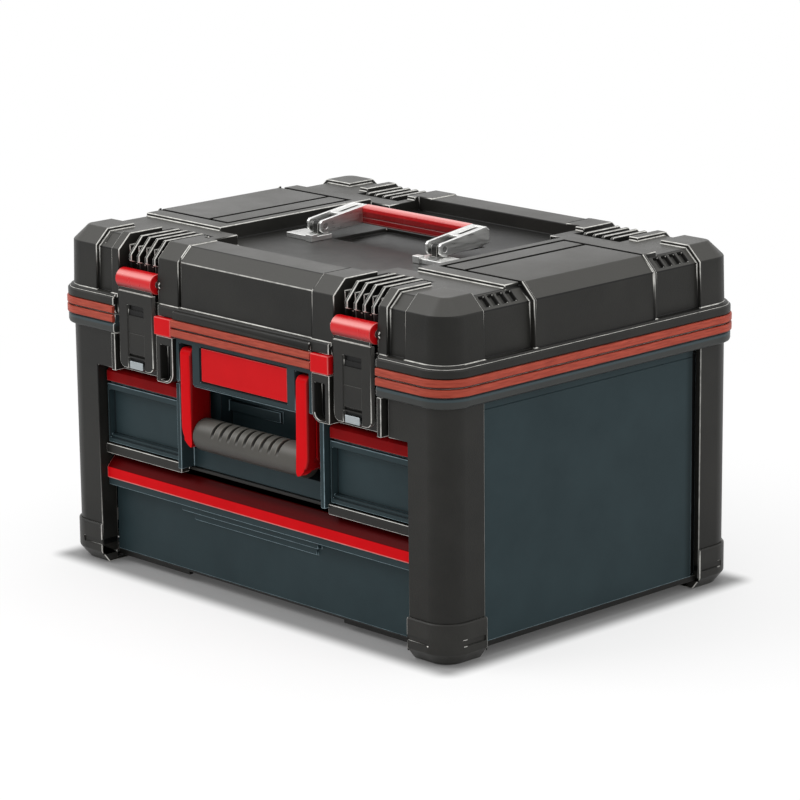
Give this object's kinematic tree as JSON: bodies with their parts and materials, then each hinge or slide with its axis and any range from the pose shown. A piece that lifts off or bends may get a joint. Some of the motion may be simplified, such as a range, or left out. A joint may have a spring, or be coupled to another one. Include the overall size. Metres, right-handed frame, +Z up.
{
  "type": "portable tool box with drawers",
  "caption": "Portable tool box: hinged lid with latches and a folding top handle over a case with corner posts, front drawers and a swinging carry handle.",
  "frame": {"origin": "on the floor under the middle of the box", "axes": "+X to the right as seen from the front, along the width; -Y towards the front with the latches and drawers; +Z up"},
  "size_m": [0.458, 0.3428, 0.2924],
  "materials": {
    "charcoal_plastic": "fine moulded grain with light, worn edges",
    "slate_plastic": "smooth satin",
    "red_plastic": "semi-gloss",
    "band_red": "brushed, with bright edges",
    "bright_metal": "polished with brushed faces",
    "steel": "satin",
    "grip_rubber": "matte"
  },
  "bodies": {
    "case": {"base_tray": "charcoal_plastic", "post_front_left": "charcoal_plastic", "post_front_right": "charcoal_plastic", "post_rear_left": "charcoal_plastic", "post_rear_right": "charcoal_plastic", "foot_cap_front_left": "charcoal_plastic", "foot_cap_front_right": "charcoal_plastic", "foot_cap_rear_left": "charcoal_plastic", "foot_cap_rear_right": "charcoal_plastic", "side_panel_left": "slate_plastic", "side_panel_right": "slate_plastic", "rear_panel": "slate_plastic", "rim_collar": "charcoal_plastic", "rim_band": "band_red", "rim_gasket": "grip_rubber", "latch_guides": "charcoal_plastic", "drawer_headers": "charcoal_plastic", "centre_column": "slate_plastic", "front_plaque": "red_plastic", "compartment_floor": "slate_plastic", "drawer_shelf": "charcoal_plastic", "drawer_partitions": "charcoal_plastic", "drawer_runners": "steel", "hinge_body_leaves": "charcoal_plastic", "hinge_pins": "steel", "case_screws": "steel", "carry_handle_pins": "steel"},
    "lid": {"lid_shell": "charcoal_plastic", "lid_band": "band_red", "accent_blocks": "red_plastic", "hinge_lid_leaves": "charcoal_plastic", "latch_pins": "steel", "top_handle_feet": "bright_metal", "top_handle_lugs": "charcoal_plastic", "top_handle_pins": "steel"},
    "latch_left": {"latch_plate_left": "charcoal_plastic", "latch_bar_left": "red_plastic", "latch_clip_left": "bright_metal"},
    "latch_right": {"latch_plate_right": "charcoal_plastic", "latch_bar_right": "red_plastic", "latch_clip_right": "bright_metal"},
    "button_left": {"latch_button_left": "charcoal_plastic"},
    "button_right": {"latch_button_right": "charcoal_plastic"},
    "carry_handle": {"carry_handle_arm_left": "red_plastic", "carry_handle_arm_right": "red_plastic", "carry_handle_rod": "steel", "carry_handle_grip": "grip_rubber"},
    "top_handle": {"top_handle_bracket_left": "bright_metal", "top_handle_bracket_right": "bright_metal", "top_handle_grip": "red_plastic"},
    "lower_drawer": {"lower_drawer_box": "charcoal_plastic", "lower_drawer_front": "slate_plastic", "lower_drawer_lip": "red_plastic"},
    "upper_drawer_left": {"upper_drawer_left_box": "charcoal_plastic", "upper_drawer_left_front": "slate_plastic", "upper_drawer_left_rail": "red_plastic"},
    "upper_drawer_right": {"upper_drawer_right_box": "charcoal_plastic", "upper_drawer_right_front": "slate_plastic", "upper_drawer_right_rail": "red_plastic"}
  },
  "joints": [
    {"name": "lid_hinge", "type": "hinge", "parent": "case", "child": "lid", "pos_m": [0, 0.1696, 0.217], "axis": [-1, 0, 0], "range_deg": [0, 100]},
    {"name": "latch_left_hinge", "type": "hinge", "parent": "lid", "child": "latch_left", "pos_m": [-0.127, -0.1605, 0.2477], "axis": [-1, 0, 0], "range_deg": [0, 100]},
    {"name": "latch_right_hinge", "type": "hinge", "parent": "lid", "child": "latch_right", "pos_m": [0.127, -0.1605, 0.2477], "axis": [-1, 0, 0], "range_deg": [0, 100]},
    {"name": "button_left_press", "type": "slide", "parent": "latch_left", "child": "button_left", "axis": [0, 1, 0], "range_m": [0, 0.002], "stiffness_N_per_m": 400, "springref_m": -0.001},
    {"name": "button_right_press", "type": "slide", "parent": "latch_right", "child": "button_right", "axis": [0, 1, 0], "range_m": [0, 0.002], "stiffness_N_per_m": 400, "springref_m": -0.001},
    {"name": "carry_handle_hinge", "type": "hinge", "parent": "case", "child": "carry_handle", "pos_m": [0, -0.1553, 0.1925], "axis": [-1, 0, 0], "range_deg": [0, 95]},
    {"name": "top_handle_hinge", "type": "hinge", "parent": "lid", "child": "top_handle", "pos_m": [0, -0.0182, 0.2808], "axis": [1, 0, 0], "range_deg": [0, 90]},
    {"name": "lower_drawer_slide", "type": "slide", "parent": "case", "child": "lower_drawer", "axis": [0, -1, 0], "range_m": [0, 0.2]},
    {"name": "upper_drawer_left_slide", "type": "slide", "parent": "case", "child": "upper_drawer_left", "axis": [0, -1, 0], "range_m": [0, 0.2]},
    {"name": "upper_drawer_right_slide", "type": "slide", "parent": "case", "child": "upper_drawer_right", "axis": [0, -1, 0], "range_m": [0, 0.2]}
  ]
}
